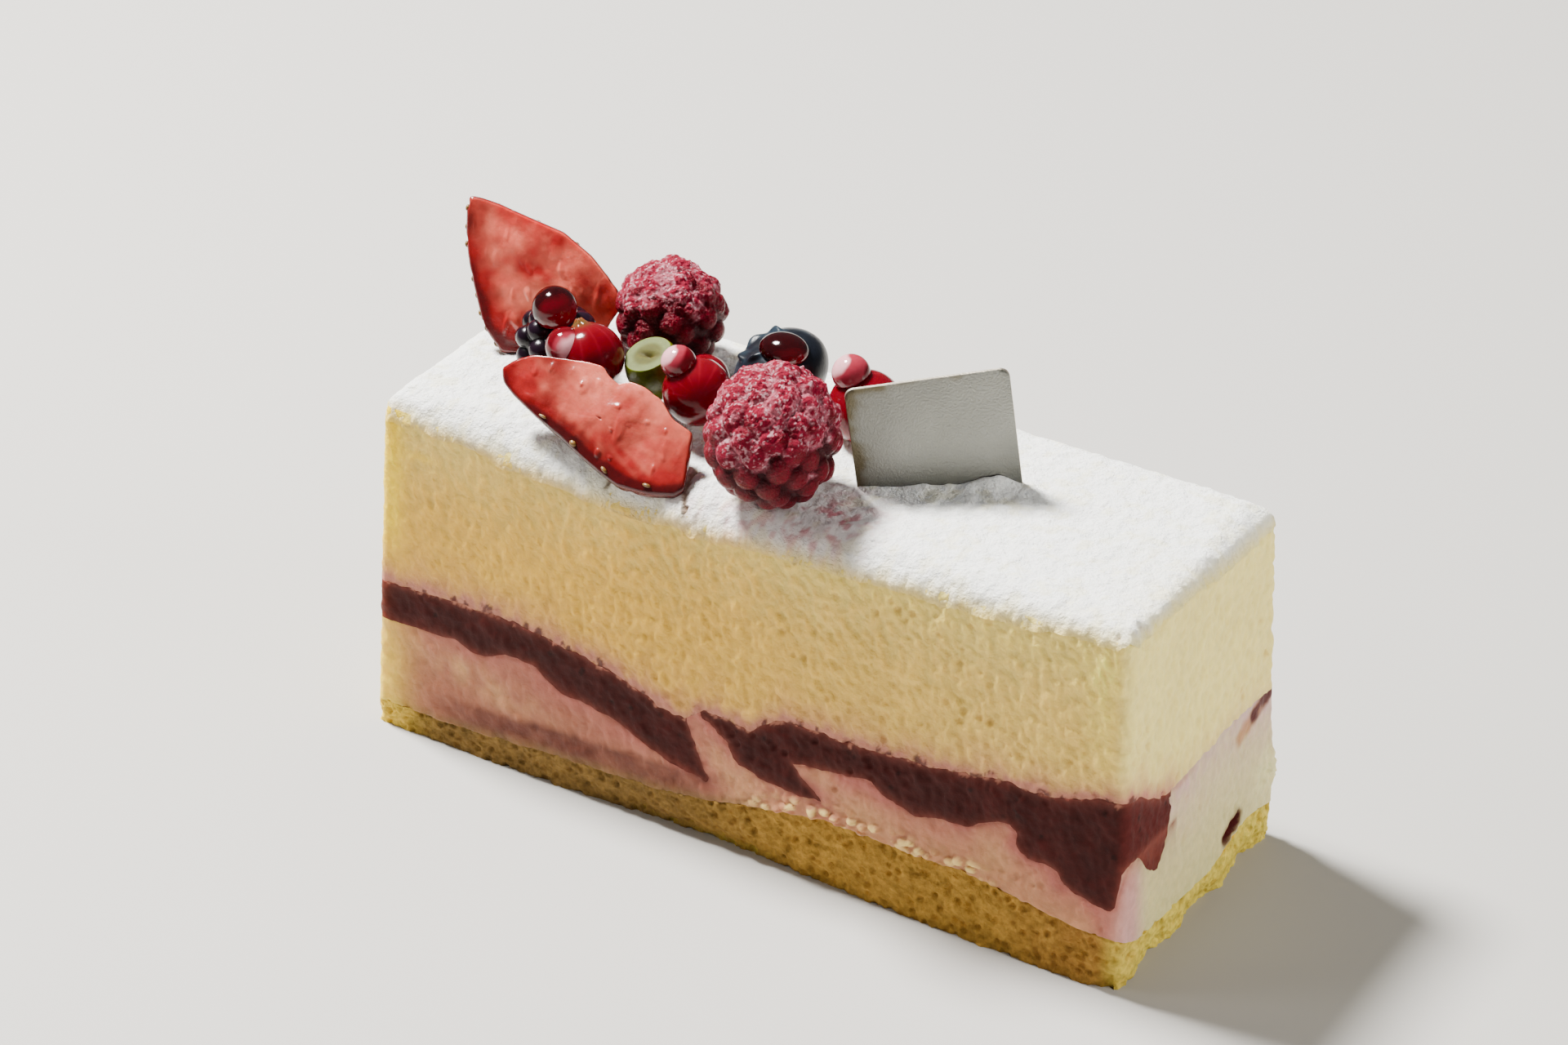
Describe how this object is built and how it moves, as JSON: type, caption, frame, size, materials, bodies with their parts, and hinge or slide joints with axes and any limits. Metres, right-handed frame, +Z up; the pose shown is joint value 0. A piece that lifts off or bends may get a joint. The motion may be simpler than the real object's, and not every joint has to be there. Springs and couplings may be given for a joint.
{
  "type": "layered mousse cake slice",
  "caption": "Rectangular slice of layered cream mousse cake on sponge, with a dark berry layer, a snow-sugar top, mixed fruit and a blank metal plaque.",
  "frame": {"origin": "middle of the flat base, on the table", "axes": "+Z up, +X along the slice towards the end away from the fruit, -Y the long cut side that faces the viewer"},
  "size_m": [0.1062, 0.0406, 0.0655],
  "materials": {
    "sponge": "matte crumb",
    "pink_mousse": "soft satin",
    "dark_mousse": "soft satin",
    "cream": "soft satin",
    "sugar": "matte powder",
    "strawberry": "wet gloss",
    "raspberry": "dusted",
    "bramble": "gloss",
    "currant": "gloss",
    "blueberry": "bloomed satin",
    "green_berry": "gloss",
    "glaze": "clear gloss",
    "metal": "brushed, a little tarnished"
  },
  "bodies": {
    "root": {"sponge_base": "sponge", "lower_mousse": "pink_mousse", "berry_layer_left": "dark_mousse", "berry_layer_right": "dark_mousse", "upper_cream": "cream", "snow_sugar_top": "sugar", "plaque": "metal", "strawberry_rear": "strawberry", "strawberry_front": "strawberry", "raspberry_front": "raspberry", "raspberry_rear": "raspberry", "bramble_berry": "bramble", "redcurrant_left": "currant", "redcurrant_mid_front": "currant", "redcurrant_mid_rear": "currant", "redcurrant_right": "currant", "blueberry": "blueberry", "green_berry_half": "green_berry", "glaze_drop_bramble": "glaze", "glaze_drop_left": "glaze", "glaze_drop_mid": "glaze", "glaze_drop_blueberry": "glaze", "glaze_drop_right": "glaze"}
  },
  "joints": []
}
